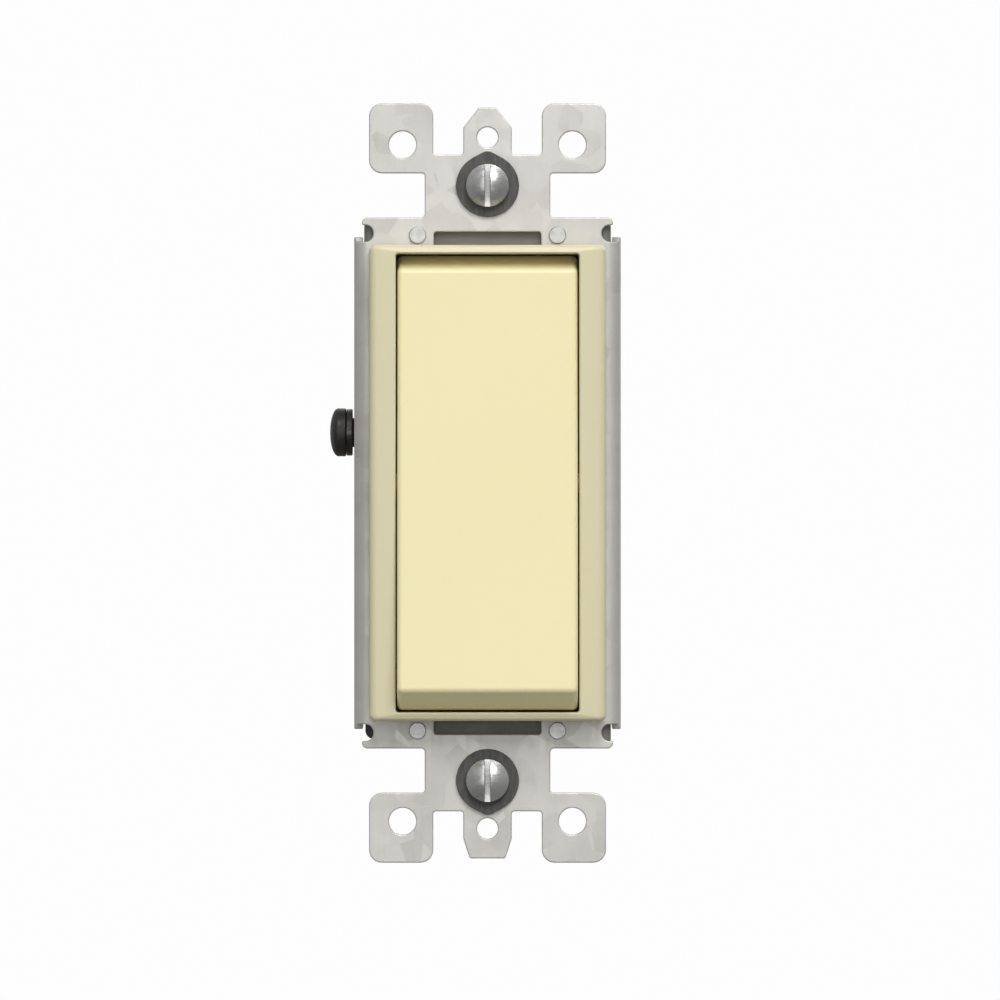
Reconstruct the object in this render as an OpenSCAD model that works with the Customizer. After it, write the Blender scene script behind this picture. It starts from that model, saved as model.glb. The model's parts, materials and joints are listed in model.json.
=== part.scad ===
// Three-way rocker switch on a steel mounting strap, wall-box size.
// X is right, Y is back into the wall, Z is up. Y = 0 is the strap's back face, the plane of the wall box.

/* [Overall size] */
// Distance between the two box screws
box_pitch = 83.3; // [76:0.1:102]
// Width over the strap's side flanges
strap_w = 37.4; // [31:0.1:46]
// Depth of the housing behind the strap
body_depth = 26; // [21.5:0.1:32]

/* [Strap] */
// Thickness of the strap's steel
strap_t = 1.2; // [0.8:0.1:1.5]
// Inside radius of the bends
bend_r = 0.8; // [0.4:0.1:1.2]
// How far the side flanges reach back
flange_depth = 5.5; // [2.5:0.1:5.5]
// From a box screw out to the end of the strap
end_reach = 11.55; // [10.5:0.05:14]
// From a box screw out to the cover-plate screw hole
plate_step = 6.77; // [6.2:0.01:8]
// From a box screw in to the end of the wide middle
mid_gap = 4.45; // [3.5:0.05:6]
// From a box screw out to the ears
ear_gap = 1.75; // [0.5:0.05:2.5]
// Width over the ears
ear_span = 33.2; // [30:0.1:37]
// Width of one ear
ear_w = 9; // [7:0.1:9.5]
// Corner radius of an ear
ear_corner_r = 1.8; // [0.5:0.1:2.5]
// Radius of the hole in an ear
ear_hole_r = 1.9; // [1.2:0.05:2.4]
// Width of the tab that holds a cover-plate screw
tab_w = 6.8; // [5.5:0.1:7]
// Radius of the tapped cover-plate screw hole
plate_hole_r = 1.45; // [1.2:0.05:1.8]
// Width of the neck round a box screw
neck_w = 17.6; // [14:0.1:18]
// Length of a box-screw slot
slot_len = 8.6; // [6:0.1:10]
// Width of a box-screw slot
slot_w = 4.4; // [4:0.1:5.4]

/* [Bezel] */
// From the strap's side to the bezel's side
bezel_step = 2.2; // [1.5:0.1:3]
// From a box screw in to the bezel's end
bezel_gap = 8.4; // [7.6:0.05:10]
// How far the bezel stands out of the strap
bezel_h = 6.4; // [6:0.1:8]
// Width of the rim at the bezel's sides
rim_w = 3.7; // [2.6:0.1:4]
// Thickness of the bezel's end walls
end_wall = 1.25; // [1:0.05:1.8]
// Thickness of the bezel's side walls
side_wall = 1.5; // [1.2:0.1:1.8]
// Thickness of the rim's front
rim_t = 1.8; // [1.2:0.1:2.2]
// Width of a latch arm
latch_w = 14; // [8:0.5:14]
// Thickness of a latch arm
latch_t = 1; // [0.8:0.1:1.1]

/* [Rocker] */
// Tilt of the paddle to each side of level
tilt = 4; // [3:0.5:4.5]
// Gap between the paddle and the bezel's sides
paddle_gap = 0.2; // [0.2:0.05:1]
// Gap between the swinging paddle and the bezel's ends
swing_gap = 0.22; // [0.2:0.02:0.8]
// From the tilt axis out to the paddle's front edges
paddle_rise = 5.6; // [5:0.1:6]
// Hollow of the paddle's front
paddle_sag = 0.45; // [0:0.05:0.8]
// How far the paddle's ends slope in towards the front
end_slope = 2.3; // [0.8:0.1:2.5]
// Thickness of the paddle's front
paddle_t = 2; // [1.4:0.1:2.2]
// Thickness of the paddle's skirt
skirt_t = 1.5; // [1:0.1:1.8]
// Radius of a trunnion
trunnion_r = 1.4; // [1:0.05:1.5]
// Radial clearance of a turning or sliding fit
fit_gap = 0.07; // [0.02:0.01:0.09]
// Outer radius of the stem
stem_r = 3.4; // [3:0.1:3.8]

/* [Snap action] */
// Radius of the plunger
plunger_r = 1.93; // [1.7:0.01:2]
// Length of the plunger's body behind the middle of its nose
plunger_len = 6.4; // [5:0.1:7]
// Travel of the plunger into the stem
plunger_travel = 1.2; // [0.8:0.1:1.6]
// Wire thickness of the plunger spring
wire_d = 0.4; // [0.3:0.05:0.5]
// Turns of the plunger spring
spring_turns = 10; // [6:1:12]
// Thickness of the contact arm
arm_t = 0.7; // [0.5:0.05:0.9]
// Width of the contact arm
arm_w = 7; // [5:0.1:7]
// From the fulcrum to the end of the contact arm
arm_reach = 12.5; // [11.5:0.1:14]
// From the fulcrum to a moving contact
contact_z = 10.5; // [9.5:0.1:11]
// Radius of a contact
contact_r = 1.6; // [1.2:0.1:1.8]
// Thickness of a contact
contact_t = 0.9; // [0.6:0.05:1]
// Tilt of the contact arm to each side of level
arm_tilt = 6; // [5:0.5:7]
// Radius of the fulcrum pin
pin_r = 0.92; // [0.8:0.01:1]
// Thickness of the arch that rides on the fulcrum pin
arch_t = 0.7; // [0.5:0.05:0.8]

/* [Terminals] */
// Thickness of the terminals' brass
plate_t = 0.9; // [0.7:0.05:1]
// Height of the common screw above the middle
common_z = 7.2; // [6.5:0.1:9]
// Height of a traveller screw above or below the middle
traveller_z = 13; // [12.5:0.1:15]
// Radius of a terminal screw's thread
screw_r = 2.1; // [1.6:0.05:2.2]
// Radius of a terminal screw's head
screw_head_r = 3.4; // [3:0.1:4.2]
// Thickness of a terminal screw's head
screw_head_t = 2.3; // [1.6:0.1:2.6]
// Thickness of the captive washer under a terminal screw's head
washer_t = 0.9; // [0.5:0.1:1]
// Length of a terminal screw's thread
screw_len = 6.7; // [6.2:0.1:8]
// How far the common screw is backed out
backed_out = 3.6; // [0:0.1:5]
// Radius of a push-in wire hole
wire_hole_r = 1.15; // [1:0.05:1.3]
// From the middle to a push-in wire hole
wire_x = 10.5; // [9.5:0.1:11]

/* [Housing] */
// Thickness of the housing's walls
wall = 1.6; // [1.2:0.1:1.8]
// Thickness of the housing's floor
floor_t = 2; // [1.6:0.1:2.5]
// Thickness of the housing's cover
cover_t = 1.8; // [1.4:0.1:2]
// Radius of a rivet's shank
rivet_r = 0.9; // [0.7:0.05:1]

/* [Fasteners] */
// Radius of a box screw's thread
box_screw_r = 1.75; // [1.5:0.05:1.8]
// Radius of a box screw's head
box_head_r = 3; // [2.6:0.1:3.4]
// Height of a box screw's head
box_head_h = 2.1; // [1.4:0.1:2.4]
// How far a box screw reaches behind the strap
box_screw_len = 17.8; // [10:0.1:25]
// Thickness of a box screw's retainer
retainer_t = 0.6; // [0.4:0.1:1]
// Radius of a box screw's retainer
retainer_r = 4.4; // [3.6:0.1:4.6]

/* [Hidden] */
$fn = 48;
eps = 0.01;
over = 1;

box_z = box_pitch / 2;
strap_z = box_z + end_reach;
plate_z = box_z + plate_step;
mid_z = box_z - mid_gap;
ear_z = box_z + ear_gap;
flange_inset = 2.7;
flange_z = mid_z - flange_inset;
side_x = strap_w / 2;
strap_y = -strap_t;
ear_hole_inset = [4.7, 5.8];
relief_r = 1.2;
slot_lip = 3.2;

bezel_x = side_x - bezel_step;
bezel_z = box_z - bezel_gap;
bezel_y = strap_y - bezel_h;
open_x = bezel_x - rim_w;
open_z = bezel_z - end_wall;

trunnion_wall = 0.63;
pivot_y = strap_y - trunnion_r - fit_gap - trunnion_wall;
paddle_x = open_x - paddle_gap;
paddle_z = open_z - swing_gap;
face_z = paddle_z - end_slope;
stop_y = -0.22;
skirt_dy = (stop_y - pivot_y - paddle_z * sin(tilt)) / cos(tilt);
stop_gap = 0.06;
shoulder_dy = -1;
trunnion_boss = 4;
trunnion_end = bezel_x - 1.2;
trunnion_bore = bezel_x - 0.9;
rib_half = 0.6;
cross_half = 1.2;
bumper_half = 5;
bumper_z = [paddle_z - 1.9, paddle_z - 0.1];

hous_x = side_x - strap_t - 0.2;
hous_z = mid_z - 1;
floor_y = body_depth - floor_t;
window_x = open_x;
window_z = open_z;
latch_z = window_z + 0.2;
latch_slot_z = window_z + slot_lip;
latch_slot_x = latch_w / 2 + 0.5;
latch_hook_z = latch_z + latch_t + 0.2;
latch_end = cover_t + 3;
latch_hook = 0.8;
stem_hole = [5.5, 5.2];
box_rim_t = 1;
box_slot = [0.9, 1.1];

arch_r = pin_r + 0.08 + arch_t;
arch_in_r = pin_r + 0.08;
fulcrum_rise = 8.32;
fulcrum_y = floor_y - fulcrum_rise;
reach = fulcrum_y - pivot_y;
nose_gap = 0.05;
nose_y = reach - arch_r - plunger_r - nose_gap;
stem_end = nose_y - plunger_travel - 0.9;
bore_y = -paddle_rise + paddle_t + 0.4;
bore_r = plunger_r + fit_gap;
plunger_back = nose_y - plunger_len;
spigot_r = plunger_r / 2;
spring_r = plunger_r - wire_d / 2 - 0.18;

contact_gap = 0.03;
fixed_y = arm_t / 2 + contact_t + contact_gap;
tab_y = fixed_y + contact_t - 0.1;
bridge_y = 2.32;
screw_y = fulcrum_y - 1.68;
plate_front = screw_y - 6;
plate_x = hous_x - 1.8;
pocket_x = plate_x - plate_t - 0.1;
pocket_wall = 1.5;
wire_z = contact_z * cos(arm_tilt) - (tab_y + plate_t / 2) * sin(arm_tilt);
plate_back = fulcrum_y + 4.9;
pocket_gap = 0.3;
traveller_half = 4.5;
pad_half = 3;
neck_z = [contact_z - 1.3, contact_z + 2.7];
common_lo = -3;
common_hi = common_z + 5;
pin_ear = 0.5;
pin_ear_half = 1.8;
screw_bevel = 0.5;
screw_slot = [1.2, 1];

rivet_x = latch_slot_x + 2.3;
rivet_z = hous_z - 1.5;
rivet_head_r = 1.2;

ground_z = -window_z + 3.2;
ground_half = 2.9;
ground_x = -open_x - 1;
ground_y = flange_depth + 4;
ground_r = 1.75;
ground_reach = 3.6;
ground_head_r = 3;
ground_head_t = 2.4;
ground_collar = 0.7;
ground_len = 5.4;
ground_slot = [1, 0.8];

// A box between two limits on each axis
module span(x, y, z) {
    translate([x[0], y[0], z[0]]) cube([x[1] - x[0], y[1] - y[0], z[1] - z[0]]);
}

// A rectangle with round corners
module round_rect(x, z, r) {
    translate([x[0] + r, z[0]]) square([x[1] - x[0] - 2 * r, z[1] - z[0]]);
    translate([x[0], z[0] + r]) square([x[1] - x[0], z[1] - z[0] - 2 * r]);
    for (cx = [x[0] + r, x[1] - r], cz = [z[0] + r, z[1] - r]) translate([cx, cz]) circle(r);
}

// An outline drawn in X and Z, as thick as the limits in Y
module plate_y(y) {
    translate([0, y[1], 0]) rotate([90, 0, 0]) linear_extrude(y[1] - y[0]) children();
}

// An outline drawn in Y and Z, as wide as the limits in X
module along_x(x) {
    translate([x[0], 0, 0]) rotate([90, 0, 90]) linear_extrude(x[1] - x[0]) children();
}

// An outline drawn in X and Y, as long as the limits in Z
module along_z(z) {
    translate([0, 0, z[0]]) linear_extrude(z[1] - z[0]) children();
}

module rod_x(r, x, y, z) {
    translate([x[0], y, z]) rotate([0, 90, 0]) cylinder(r = r, h = x[1] - x[0]);
}

module rod_y(r, x, y, z) {
    translate([x, y[1], z]) rotate([90, 0, 0]) cylinder(r = r, h = y[1] - y[0]);
}

// The rocker's own frame, with the tilt axis at its origin
module at_pivot(angle = -tilt) {
    translate([0, pivot_y, 0]) rotate([angle, 0, 0]) children();
}

// The contact arm's own frame, with the fulcrum axis at its origin
module at_fulcrum(angle = arm_tilt) {
    translate([0, fulcrum_y, 0]) rotate([angle, 0, 0]) children();
}

// Both ends of the strap
module both_ends() {
    children();
    mirror([0, 0, 1]) children();
}

// ---- Strap ----

module strap_end_outline(tip_w) {
    ear_in = ear_span / 2 - ear_w;
    notch_z = ear_z + 2.6;
    translate([-neck_w / 2, mid_z - over]) square([neck_w, ear_z - mid_z + 2 * over]);
    for (s = [-1, 1]) {
        mid_x = s * (ear_span / 2 - ear_w / 2);
        round_rect([mid_x - ear_w / 2, mid_x + ear_w / 2], [ear_z, strap_z], ear_corner_r);
    }
    translate([-ear_in - over, ear_z]) square([2 * (ear_in + over), notch_z - ear_z]);
    polygon([
        [-tab_w / 2, notch_z - over], [tab_w / 2, notch_z - over], [tab_w / 2, strap_z - 3.4],
        [tip_w / 2, strap_z - 0.6], [-tip_w / 2, strap_z - 0.6], [-tab_w / 2, strap_z - 3.4]
    ]);
}

module strap_end_holes() {
    translate([0, plate_z]) circle(plate_hole_r);
    round_rect([-slot_len / 2, slot_len / 2], [box_z - slot_w / 2, box_z + slot_w / 2], slot_w / 2 - eps);
    for (s = [-1, 1]) {
        translate([s * (ear_span / 2 - ear_hole_inset[0]), strap_z - ear_hole_inset[1]]) circle(ear_hole_r);
        translate([s * (side_x - 1.5), mid_z - 2.2]) circle(relief_r);
    }
}

// Cross-section of the bent middle: a flat web with a flange bent back at each side
module bent_section() {
    outer_r = bend_r + strap_t;
    difference() {
        union() {
            translate([-side_x, strap_y + outer_r]) square([strap_w, flange_depth - strap_y - outer_r]);
            translate([-side_x + outer_r, strap_y]) square([strap_w - 2 * outer_r, flange_depth]);
            for (s = [-1, 1]) translate([s * (side_x - outer_r), strap_y + outer_r]) circle(outer_r);
        }
        translate([-side_x + strap_t, bend_r]) square([strap_w - 2 * strap_t, flange_depth]);
        translate([-side_x + outer_r, 0]) square([strap_w - 2 * outer_r, flange_depth + over]);
        for (s = [-1, 1]) translate([s * (side_x - outer_r), bend_r]) circle(bend_r);
    }
}

// The tab for the ground screw, bent back from the edge of the strap's window
module ground_tab() {
    outer_r = bend_r + strap_t;
    along_z([ground_z - ground_half, ground_z + ground_half]) {
        intersection() {
            translate([ground_x + strap_t - outer_r, strap_y + outer_r]) difference() {
                circle(outer_r);
                circle(bend_r);
            }
            translate([ground_x + strap_t - outer_r, strap_y]) square(outer_r);
        }
        translate([ground_x, bend_r - eps]) square([strap_t, ground_y + ground_reach - bend_r]);
    }
}

module strap() color([0.74, 0.74, 0.72]) difference() {
    bend_cut = bend_r + strap_t - eps;
    corner_lip = 1.6;
    union() {
        plate_y([strap_y, 0]) difference() {
            union() {
                round_rect([-side_x + 1.1, side_x - 1.1], [-mid_z, mid_z], 0.8);
                strap_end_outline(2.4);
                mirror([0, 1]) strap_end_outline(5);
            }
            for (s = [-1, 1]) translate([s * side_x - bend_cut, -mid_z + corner_lip])
                square([2 * bend_cut, 2 * (mid_z - corner_lip)]);
            strap_end_holes();
            mirror([0, 1]) strap_end_holes();
            square([2 * window_x, 2 * window_z], center = true);
            square([2 * latch_slot_x, 2 * latch_slot_z], center = true);
            ground_cut = ground_half + 0.5;
            translate([ground_x - bend_r, ground_z - ground_cut]) square([3, 2 * ground_cut]);
            for (x = [-1, 1] * rivet_x, z = [-1, 1] * rivet_z) translate([x, z]) circle(rivet_r);
        }
        difference() {
            along_z([-flange_z, flange_z]) bent_section();
            span([-side_x + 2, side_x - 2], [strap_y - over, over], [-flange_z - over, flange_z + over]);
        }
        ground_tab();
    }
    rod_x(ground_r, [ground_x - over, ground_x + strap_t + over], ground_y, ground_z);
}

module strap_rivets() color([0.78, 0.78, 0.76]) {
    for (x = [-1, 1] * rivet_x, z = [-1, 1] * rivet_z) {
        rod_y(rivet_r, x, [strap_y - 0.1, body_depth + 0.1], z);
        rod_y(rivet_head_r, x, [strap_y - 0.4, strap_y], z);
        rod_y(rivet_head_r, x, [body_depth, body_depth + 0.5], z);
    }
}

// ---- Bezel ----

module latch() {
    span([-latch_w / 2, latch_w / 2], [strap_y - 0.6, latch_end], [latch_z, latch_z + latch_t]);
    hook_y = cover_t + 0.12;
    along_x([-latch_w / 2, latch_w / 2]) polygon([
        [hook_y, latch_z], [hook_y, latch_hook_z + latch_hook], [hook_y + 0.5, latch_hook_z + latch_hook],
        [latch_end, latch_z + latch_t], [latch_end, latch_z]
    ]);
}

module bezel() color([0.90, 0.87, 0.74]) difference() {
    union() {
        difference() {
            plate_y([bezel_y, strap_y]) difference() {
                round_rect([-bezel_x, bezel_x], [-bezel_z, bezel_z], 0.6);
                square([2 * open_x, 2 * open_z], center = true);
            }
            hollow_x = bezel_x - side_wall;
            span([-hollow_x, hollow_x], [bezel_y + rim_t, over], [-open_z, open_z]);
        }
        for (s = [-1, 1]) {
            boss = [s * (open_x + bezel_x) / 2 - rim_w / 2, s * (open_x + bezel_x) / 2 + rim_w / 2];
            span(boss, [bezel_y + rim_t - eps, strap_y], [-trunnion_boss, trunnion_boss]);
        }
        both_ends() latch();
    }
    for (s = [-1, 1]) {
        ends = s > 0 ? [open_x - over, trunnion_bore] : [-trunnion_bore, -open_x + over];
        rod_x(trunnion_r + fit_gap, ends, pivot_y, 0);
    }
}

// ---- Rocker, plunger and spring ----

// Points of the paddle's hollow front, from its lower edge to its upper edge
function front_arc(n) = [
    for (i = [0 : n]) let (t = 2 * i / n - 1) [-paddle_rise + paddle_sag * (1 - t * t), face_z * t]
];

module paddle_outline() {
    polygon(concat(front_arc(16), [
        [shoulder_dy, paddle_z], [skirt_dy, paddle_z], [skirt_dy, -paddle_z], [shoulder_dy, -paddle_z]
    ]));
}

module paddle_hollow() {
    inner_z = paddle_z - skirt_t;
    inner_y = -paddle_rise + paddle_t;
    polygon([
        [inner_y, -inner_z + 1.2], [inner_y, inner_z - 1.2], [shoulder_dy, inner_z],
        [skirt_dy + over, inner_z], [skirt_dy + over, -inner_z], [shoulder_dy, -inner_z]
    ]);
}

module rocker_paddle() color([0.95, 0.90, 0.74]) at_pivot() difference() {
    union() {
        difference() {
            along_x([-paddle_x, paddle_x]) paddle_outline();
            along_x([-paddle_x + skirt_t, paddle_x - skirt_t]) paddle_hollow();
        }
        rib_y = [-paddle_rise + paddle_t - eps, shoulder_dy];
        span([-paddle_x + skirt_t / 2, paddle_x - skirt_t / 2], [rib_y[0], trunnion_r], [-cross_half, cross_half]);
        span([-rib_half, rib_half], rib_y, [-face_z + 0.6, face_z - 0.6]);
        rod_y(stem_r, 0, [rib_y[0], stem_end], 0);
        rod_x(trunnion_r, [-trunnion_end, trunnion_end], 0, 0);
    }
    rod_y(bore_r, 0, [bore_y, stem_end + over], 0);
}

module plunger() color([0.80, 0.80, 0.78]) at_pivot() {
    rod_y(plunger_r, 0, [plunger_back, nose_y], 0);
    rod_y(spigot_r, 0, [plunger_back - 1.5, plunger_back + eps], 0);
    translate([0, nose_y, 0]) sphere(plunger_r);
}

// A round wire wound along Y: rings of a section, joined side by side
module coil(r, wire_r, y, turns) {
    steps = 14;
    sides = 6;
    rings = turns * steps;
    rise = (y[1] - y[0]) / rings;
    points = [
        for (i = [0 : rings], k = [0 : sides - 1])
            let (a = 360 * i / steps, b = 360 * k / sides, out = r + wire_r * cos(b))
                [out * cos(a), y[0] + rise * i + wire_r * sin(b), out * sin(a)]
    ];
    walls = [
        for (i = [0 : rings - 1], k = [0 : sides - 1])
            let (here = i * sides, next = (k + 1) % sides)
                [here + k, here + sides + k, here + sides + next, here + next]
    ];
    first = [[for (k = [0 : sides - 1]) k]];
    last = [[for (k = [sides - 1 : -1 : 0]) rings * sides + k]];
    polyhedron(points, concat(walls, first, last));
}

module plunger_spring() color([0.70, 0.70, 0.72]) at_pivot() {
    end_gap = wire_d / 2 + 0.03;
    coil(spring_r, wire_d / 2, [bore_y + end_gap, plunger_back - end_gap], spring_turns);
}

module travel_bumpers() color([0.15, 0.15, 0.15]) both_ends() {
    span([-bumper_half, bumper_half], [stop_y + stop_gap, cover_t / 2], bumper_z);
}

// ---- Contacts and terminals ----

module contact_arm() color([0.80, 0.62, 0.30]) at_fulcrum() along_x([-arm_w / 2, arm_w / 2]) {
    difference() {
        union() {
            circle(arch_r);
            square([arm_t, 2 * arm_reach], center = true);
        }
        circle(arch_in_r);
        translate([arm_t / 2, -arch_r - over]) square([arch_r + over, 2 * (arch_r + over)]);
    }
}

module moving_contacts() color([0.86, 0.86, 0.84]) at_fulcrum() {
    for (z = [-contact_z, contact_z]) rod_y(contact_r, 0, [arm_t / 2, arm_t / 2 + contact_t], z);
}

module fulcrum_pin() color([0.75, 0.75, 0.76]) {
    ear_out = arm_w / 2 + pin_ear + plate_t;
    rod_x(pin_r, [-ear_out, ear_out], fulcrum_y, 0);
}

module fixed_contacts() color([0.86, 0.86, 0.84]) {
    for (s = [-1, 1]) at_fulcrum(-s * arm_tilt)
        rod_y(contact_r, 0, [fixed_y, tab_y], s * contact_z);
}

module common_terminal() color([0.78, 0.60, 0.28]) difference() {
    ear_in = arm_w / 2 + pin_ear;
    ear_out = ear_in + plate_t;
    bridge = [fulcrum_y + bridge_y, fulcrum_y + bridge_y + plate_t];
    union() {
        span([-plate_x, -plate_x + plate_t], [plate_front, bridge[1]], [common_lo, common_hi]);
        span([-plate_x, ear_out], bridge, [common_lo, -common_lo]);
        for (x = [[-ear_out, -ear_in], [ear_in, ear_out]])
            span(x, [fulcrum_y - pin_r - 0.5, bridge[0] + eps], [-pin_ear_half, pin_ear_half]);
    }
    rod_x(pin_r, [-ear_out - over, ear_out + over], fulcrum_y, 0);
    rod_x(screw_r, [-plate_x - over, -plate_x + plate_t + over], screw_y, common_z);
    rod_y(wire_hole_r + 0.15, -wire_x, [bridge[0] - over, bridge[1] + over], 0);
}

module traveller_terminal(s) color([0.78, 0.60, 0.28]) difference() {
    plate_lo = s * traveller_z - traveller_half;
    arm_y = [tab_y, tab_y + plate_t];
    neck = s > 0 ? neck_z : [-neck_z[1], -neck_z[0]];
    pad = [s * contact_z - pad_half, s * contact_z + pad_half];
    union() {
        span([plate_x - plate_t, plate_x], [plate_front, plate_back], [plate_lo, plate_lo + 2 * traveller_half]);
        at_fulcrum(-s * arm_tilt) {
            span([-3, pocket_x - pocket_wall - 0.8], arm_y, pad);
            span([pocket_x - pocket_wall - 1, plate_x], arm_y, neck);
        }
    }
    rod_x(screw_r, [plate_x - plate_t - over, plate_x + over], screw_y, s * traveller_z);
    rod_y(wire_hole_r + 0.15, wire_x, [fulcrum_y, floor_y], s * wire_z);
}

// A terminal screw along X with its head outwards, slotted across
module terminal_screw(s, under_head, z) {
    head = under_head + washer_t;
    head_end = head + screw_head_t;
    mirror([s < 0 ? 1 : 0, 0, 0]) difference() {
        union() {
            rod_x(screw_r, [under_head - screw_len, under_head + eps], screw_y, z);
            rod_x(screw_head_r - 0.1, [under_head, head + eps], screw_y, z);
            rod_x(screw_head_r, [head, head_end - screw_bevel], screw_y, z);
            translate([head_end - screw_bevel, screw_y, z]) rotate([0, 90, 0])
                cylinder(r1 = screw_head_r, r2 = screw_head_r - screw_bevel, h = screw_bevel);
        }
        slot_y = [screw_y - screw_slot[0] / 2, screw_y + screw_slot[0] / 2];
        span([head_end - screw_slot[1], head_end + over], slot_y, [z - 5, z + 5]);
    }
}

module common_screw() color([0.10, 0.09, 0.09]) terminal_screw(-1, plate_x + backed_out, common_z);

module traveller_screw(s) color([0.80, 0.62, 0.25]) terminal_screw(1, plate_x, s * traveller_z);

module ground_screw() color([0.16, 0.42, 0.22]) difference() {
    union() {
        rod_x(ground_r, [ground_x - eps, ground_x + ground_len], ground_y, ground_z);
        rod_x(ground_head_r, [ground_x - ground_collar, ground_x], ground_y, ground_z);
        translate([ground_x - ground_head_t, ground_y, ground_z]) rotate([0, 90, 0])
            cylinder(r = ground_head_r, h = ground_head_t - 0.6, $fn = 6);
    }
    slot_x = [ground_x - ground_head_t - over, ground_x - ground_head_t + ground_slot[1]];
    slot_z = [ground_z - ground_slot[0] / 2, ground_z + ground_slot[0] / 2];
    span(slot_x, [ground_y - 5, ground_y + 5], slot_z);
}

// ---- Box screws ----

// A captive box screw: domed head in front of the strap, necked where the retainer holds it
module mounting_screw(s) color([0.80, 0.80, 0.79]) difference() {
    under = strap_y - retainer_t;
    neck_r = box_screw_r - 0.3;
    union() {
        rod_y(neck_r, 0, [under - eps, eps], s * box_z);
        rod_y(box_screw_r, 0, [0, box_screw_len], s * box_z);
        rod_y(box_head_r, 0, [under - box_rim_t, under], s * box_z);
        translate([0, under - box_rim_t, s * box_z]) intersection() {
            cap = box_head_h - box_rim_t;
            dome_r = (box_head_r * box_head_r + cap * cap) / (2 * cap);
            translate([0, dome_r - cap, 0]) sphere(dome_r);
            span([-5, 5], [-cap, eps], [-5, 5]);
        }
    }
    slot_x = [-box_slot[0] / 2, box_slot[0] / 2];
    span(slot_x, [under - 4, under - box_head_h + box_slot[1]], [s * box_z - 5, s * box_z + 5]);
}

// A fibre retainer under the screw's head, drawn out towards the strap's end
module screw_retainer(s) color([0.20, 0.20, 0.18]) plate_y([strap_y - retainer_t, strap_y]) {
    tip_r = 1.5;
    tip_z = box_z + 3.3;
    mirror([0, s < 0 ? 1 : 0]) difference() {
        hull() {
            translate([0, box_z]) circle(retainer_r);
            translate([0, tip_z]) circle(tip_r);
        }
        translate([0, box_z]) circle(box_screw_r - 0.3);
    }
}

// ---- Housing ----

module rivet_holes(y) {
    for (x = [-1, 1] * rivet_x, z = [-1, 1] * rivet_z) rod_y(rivet_r, x, y, z);
}

// The corner left free for the ground tab and its screw
module ground_notch(y) {
    notch_x = ground_x + strap_t + 0.3;
    span([-side_x, notch_x], y, [-mid_z, ground_z + ground_half + 0.6]);
}

module housing_cover() color([0.22, 0.22, 0.23]) difference() {
    edge = bend_r - 0.2;
    along_z([-hous_z, hous_z]) polygon([
        [-hous_x, cover_t], [-hous_x, edge], [-hous_x + edge, 0],
        [hous_x - edge, 0], [hous_x, edge], [hous_x, cover_t]
    ]);
    span([-stem_hole[0], stem_hole[0]], [-over, cover_t + over], [-stem_hole[1], stem_hole[1]]);
    both_ends() {
        span([-latch_slot_x + 0.2, latch_slot_x - 0.2], [-over, cover_t + over], [latch_z - 0.2, latch_hook_z]);
        span([-bumper_half, bumper_half], [-over, cover_t / 2], bumper_z);
    }
    rivet_holes([-over, cover_t + over]);
    ground_notch([-over, cover_t + over]);
}

// A block of housing round a terminal's pocket, and the pocket cut in it
module pocket_block(s, z) {
    inner = pocket_x - pocket_wall;
    x = s > 0 ? [inner, hous_x] : [-hous_x, -inner];
    span(x, [cover_t, body_depth], [z[0] - pocket_wall, z[1] + pocket_wall]);
}

module pocket_cut(s, z) {
    x = s > 0 ? [pocket_x, side_x] : [-side_x, -pocket_x];
    span(x, [plate_front - pocket_gap, plate_back + 0.4], z);
}

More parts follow.
